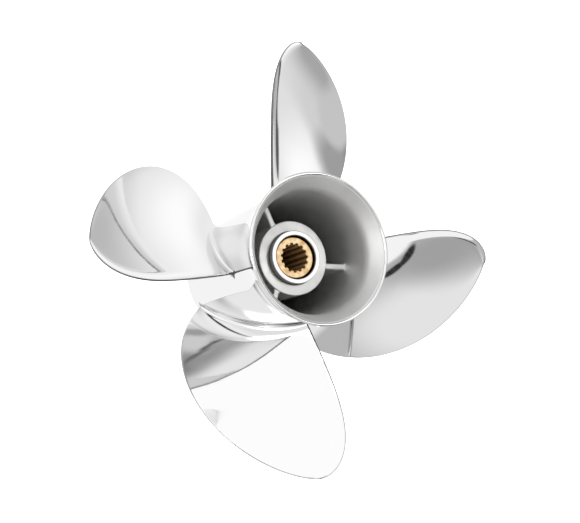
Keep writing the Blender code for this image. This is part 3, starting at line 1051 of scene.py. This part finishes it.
brass_bore, tree, shader, place = new_finish("brass_broached_tarnished", "b89468", 0.40, metallic=0.3)
along = add_node(tree, "ShaderNodeMapping", inputs={
    "Scale": (1.0, 1.0, SCRATCH_SQUEEZE)}, links={"Vector": place})
scratches = add_node(tree, "ShaderNodeTexNoise", inputs={
    "Scale": per_metre(SCRATCH), "Detail": 2.0}, links={"Vector": along.outputs["Vector"]})
shade = add_node(tree, "ShaderNodeMix", {"data_type": "RGBA"}, {
    "A": linear("b08c5e"), "B": linear("ecc898")}, {"Factor": scratches.outputs["Fac"]})
# the brown deepens towards the bottom of each groove
depth = add_node(tree, "ShaderNodeMapRange", inputs={
    "From Min": SPLINE_INNER + SPLINE_FLAT, "From Max": SPLINE_OUTER}, links={
        "Value": shaft_distance(tree, place)})
wear_and_groove_depth = add_node(tree, "ShaderNodeMix", {"data_type": "RGBA"}, {"B": linear("8a6840")}, {
    "A": shade.outputs["Result"], "Factor": depth.outputs["Result"]})
tree.links.new(wear_and_groove_depth.outputs["Result"], shader.inputs["Base Color"])
grooves = add_node(tree, "ShaderNodeBump", inputs={
    "Strength": 1.0, "Distance": SCRATCH_DEPTH * MILLIMETRE}, links={"Height": scratches.outputs["Fac"]})
tree.links.new(grooves.outputs["Normal"], shader.inputs["Normal"])
brass.data.materials.append(brass_bore)
print("brass scratches drawn", SCRATCH, "mm wide")


# %% [markdown]
# ### Moulded nitrile rubber
# The ring between the sleeves is taken to be black nitrile, moulded under pressure. It
# is not a metal, so Metallic is zero and the IOR keeps its usual 1.5. The mould's wall
# prints a fine grain on it, drawn 0.6 mm wide, and its sheen is a little uneven.

# %% Moulded nitrile rubber
RUBBER_GRAIN = 0.6
GRAIN_DEPTH = 0.05

rubber, tree, shader, place = new_finish("nitrile_rubber_moulded", "1d1c1b", 0.65, metallic=0.0)
skin = add_node(tree, "ShaderNodeTexNoise", inputs={
    "Scale": per_metre(RUBBER_GRAIN), "Detail": 2.0}, links={"Vector": place})
sheen = add_node(tree, "ShaderNodeMapRange", inputs={
    **NOISE_SPAN, "To Min": 0.55, "To Max": 0.75}, links={"Value": skin.outputs["Fac"]})
pebble = add_node(tree, "ShaderNodeBump", inputs={
    "Strength": 1.0, "Distance": GRAIN_DEPTH * MILLIMETRE}, links={"Height": skin.outputs["Fac"]})
tree.links.new(sheen.outputs["Result"], shader.inputs["Roughness"])
tree.links.new(pebble.outputs["Normal"], shader.inputs["Normal"])
rubber_ring.data.materials.append(rubber)
print("rubber grain", RUBBER_GRAIN, "mm")


# %% [markdown]
# ## The studio
# Polished metal shows nothing but its surroundings, so the light is the picture. A
# photographer can put such a piece in a dark room and hang white panels where each face
# looks: the faces turn white, and what looks past the panels turns dark. The world
# shader can do the same. Each panel is a soft oval that lies in one direction from the
# object, given as an azimuth from the first blade's tip towards the second one, and a
# height above the horizon. Later panels hang in front of earlier ones.

# %% A helper that hangs a panel
def direction(azimuth, elevation):
    """A unit vector from two angles in degrees."""
    turn = math.radians(azimuth)
    rise = math.radians(elevation)
    return Vector((math.cos(rise) * math.cos(turn), math.cos(rise) * math.sin(turn), math.sin(rise)))


def hang_panel(tree, view, before, place, size, roll, softness, brightness):
    """Lay a soft oval panel over the light so far, and return the new colour socket."""
    out = direction(*place)
    sideways = Vector((0, 0, 1)).cross(out).normalized()
    upwards = out.cross(sideways)
    facing = Matrix((sideways, upwards, out)).transposed() @ Matrix.Rotation(math.radians(roll), 3, "Z")
    width, height = (math.sin(math.radians(half)) for half in size)
    mapping = add_node(tree, "ShaderNodeMapping", {"vector_type": "TEXTURE"}, {
        "Location": out, "Rotation": facing.to_euler(), "Scale": (width, height, 1.0)}, {"Vector": view})
    far = add_node(tree, "ShaderNodeVectorMath", {"operation": "LENGTH"}, links={0: mapping.outputs[0]})
    mask = add_node(tree, "ShaderNodeMapRange", {"interpolation_type": "SMOOTHSTEP"}, {
        "From Min": 1 + softness, "From Max": 1 - softness}, {"Value": far.outputs["Value"]})
    mix = add_node(tree, "ShaderNodeMix", {"data_type": "RGBA"}, {
        "B": (brightness, brightness, brightness, 1)}, {"Factor": mask.outputs[0], "A": before})
    return mix.outputs["Result"]


print("a panel at azimuth 90 hangs towards", [round(value, 3) for value in direction(90, 0)])


# %% [markdown]
# The panels come in groups: table, walls and ceiling, then one group for each blade. In a
# blade's group the first panel is the large one that lights its face, and the others
# lighten or darken parts of it. The third blade's group comes before the second's, whose
# panels must hang in front. Two low panels are very bright: they light the inside of the
# barrel, which is blasted and takes far more light than the polish. Each line gives the
# place, half the width and height in degrees, the roll, the softness of the edge and the
# brightness. The panels were fitted to the photograph: the direction in which each part
# of the metal looks says where a panel should hang, and its tone there how bright it
# should be. So they give this look and are not a record of the real studio.

# %% Hang the panels
DARK_ROOM = 0.10
PANELS = (
    # table, walls and ceiling
    ((-140, -90), (84, 84), 0, 0.06, 1.10),
    ((150, -24), (56, 34), 0, 0.25, 0.62),
    ((106, -30), (14, 9), 0, 0.5, 0.92),
    ((160, -2), (32, 11), 0, 0.6, 1.30),
    ((-166, 6), (30, 20), 0, 0.3, 1.12),
    ((-138, -36), (36, 15), -15, 0.4, 1.15),
    ((-154, -44), (36, 9), -18, 0.7, 0.45),
    ((162, -40), (24, 7), -22, 0.4, 0.92),
    ((134, -33), (10, 5), -20, 0.6, 0.50),
    ((162, -30.5), (8, 1.3), -34, 0.5, 0.12),
    ((178, -38.5), (12, 1.2), -27, 0.5, 0.16),
    ((-157, -45), (17, 1.0), -18, 0.5, 0.22),
    ((-118, -16), (32, 21), 0, 0.25, 1.22),
    ((162, 24), (36, 4), 0, 0.25, 16.0),
    ((158, 12), (14, 5), 0, 0.4, 6.0),
    ((-118, 11), (22, 10), 0, 0.3, 0.20),
    ((-156, -8), (14, 9), 0, 0.5, 0.30),
    ((-80, -58), (28, 13), 0, 0.4, 0.12),
    ((-60, -28), (36, 16), 0, 0.3, 0.72),
    ((20, 84), (24, 12), 0, 0.5, 0.75),
    ((19.6, 62), (30, 10), 0, 0.5, 2.20),
    ((150, 66), (22, 15), 0, 0.3, 1.15),
    # first blade
    ((-122, 43), (46, 24), 0, 0.05, 0.62),
    ((-126, 56), (20, 20), 0, 0.5, 0.96),
    ((-88, 44), (10, 13), 0, 0.7, 0.44),
    ((-122, 26), (26, 10), 0, 0.05, 0.58),
    ((-79, 16), (15, 17), 20, 0.08, 1.12),
    ((-94.5, 33.8), (4.5, 1.8), 20, 0.25, 0.03),
    ((-87, 35.2), (4.5, 1.5), -10, 0.25, 0.03),
    # third blade
    ((58, -22), (60, 40), 20, 0.15, 0.97),
    ((75, -12), (20, 12), 0, 0.5, 1.20),
    ((38, -15), (16, 11), 0, 0.8, 1.20),
    ((40, 12), (20, 8), 0, 0.7, 0.60),
    # second blade
    ((-12, 0), (25, 34), 20, 0.12, 0.92),
    ((-17, -5), (22, 11), -40, 0.7, 1.22),
    ((-16, 14), (14, 5), -10, 0.6, 0.78),
    ((-6, 29), (30, 12), -18, 0.3, 0.47),
    ((-35, 19), (16, 4.5), -28, 0.5, 0.42),
    ((-26, 22.2), (11, 4.5), -31, 0.25, 0.68),
    ((-33, -5), (16, 7), -45, 0.08, 0.38),
    ((11, -14), (4, 15), 10, 0.5, 0.50),
    ((5.5, -12), (1.1, 18), 8, 0.4, 0.12),
    # fourth blade
    ((124, 30), (46, 24), 0, 0.12, 1.22),
    ((128, -8), (18, 9), 0, 0.6, 1.22),
    ((160, -5), (14, 11), 0, 0.5, 1.30),
    ((160, -6), (2.6, 13), 13, 0.5, 0.03),
)
world = bpy.data.worlds.new("dark_studio_with_panels")
world.use_nodes = True
bpy.context.scene.world = world
tree = world.node_tree
coordinates = add_node(tree, "ShaderNodeTexCoord")
view = coordinates.outputs["Generated"]
room = add_node(tree, "ShaderNodeRGB")
room.outputs[0].default_value = (DARK_ROOM, DARK_ROOM, DARK_ROOM, 1)
light = room.outputs[0]
for place, size, roll, softness, brightness in PANELS:
    light = hang_panel(tree, view, light, place, size, roll, softness, brightness)
print("hung", len(PANELS), "panels")


# %% [markdown]
# The picture's own background is plain white paper, which is not what the metal sees.
# A Light Path node keeps the two apart: rays from the camera get the paper, and all
# others get the panels.

# %% White paper behind the object
PAPER = 1.1

seen = add_node(tree, "ShaderNodeLightPath")
paper = add_node(tree, "ShaderNodeMix", {"data_type": "RGBA"}, {"B": (PAPER, PAPER, PAPER, 1)}, {
    "Factor": seen.outputs["Is Camera Ray"], "A": light})
tree.links.new(paper.outputs["Result"], tree.nodes["Background"].inputs["Color"])
print("paper brightness", PAPER)


# %% [markdown]
# ## Floor
# The propeller stands on a light table, so there is no shadow round it. A round of black
# felt under the barrel is painted shade: it keeps the table's glow out of the passages,
# where the floor would lie in shade. Both lie a hair below the barrel's end, so that no
# two surfaces share a level. The floor stays out of the metal's reflections, where the
# panels below the horizon take its place.

# %% Light table and felt
FLOOR_RADIUS = 6.0
SHEET_SIDES = 96
FELT_INSET = 0.0015
SHEET_DROP = 0.0001


def make_disc(name, radius, height):
    """A flat round sheet for the stage."""
    bpy.ops.mesh.primitive_circle_add(vertices=SHEET_SIDES, radius=radius, fill_type="NGON",
                                      location=(0, 0, height))
    made = bpy.context.object
    made.name = name
    return made


floor = make_disc("light_table", FLOOR_RADIUS, -2 * SHEET_DROP)
opal, _, shader, _ = new_finish("acrylic_opal_lit_from_below", "f4f4f4", 0.6, metallic=0.0)
shader.inputs["Emission Color"].default_value = (1, 1, 1, 1)
shader.inputs["Emission Strength"].default_value = PAPER
floor.data.materials.append(opal)
floor.visible_glossy = False

# painted shade: a black disc where the floor inside the barrel lies in shade
painted_shade_disc = make_disc("black_felt_painted_shade", BARREL_FORWARD - FELT_INSET, -SHEET_DROP)
felt = new_finish("wool_felt_black_painted_shade", "131313", 0.95, metallic=0.0)[0]
painted_shade_disc.data.materials.append(felt)
print("felt round", round(2 * (BARREL_FORWARD - FELT_INSET), 4), "m across on the light table")


# %% [markdown]
# ## Camera
# The camera looks down at the aft end from the left and 85 cm away, with the lens and
# the tilt that line the model up with the photograph. Standard keeps white paper white.

# %% Camera
SENSOR = 36.0
LENS = 56.307
CAMERA_PLACE = (-0.34275, -0.12237, 0.76793)
CAMERA_ANGLES = (10.139, -26.925, -2.188)

camera_data = bpy.data.cameras.new("camera")
camera = bpy.data.objects.new("camera", camera_data)
bpy.context.scene.collection.objects.link(camera)
camera_data.sensor_width = SENSOR
camera_data.lens = LENS
camera_data.clip_start = 0.01
camera_data.clip_end = 50.0
camera.location = CAMERA_PLACE
camera.rotation_euler = [math.radians(angle) for angle in CAMERA_ANGLES]
bpy.context.scene.camera = camera
bpy.context.scene.view_settings.view_transform = "Standard"
print("camera", round(camera.location.length, 3), "m away with a lens of", LENS, "mm")
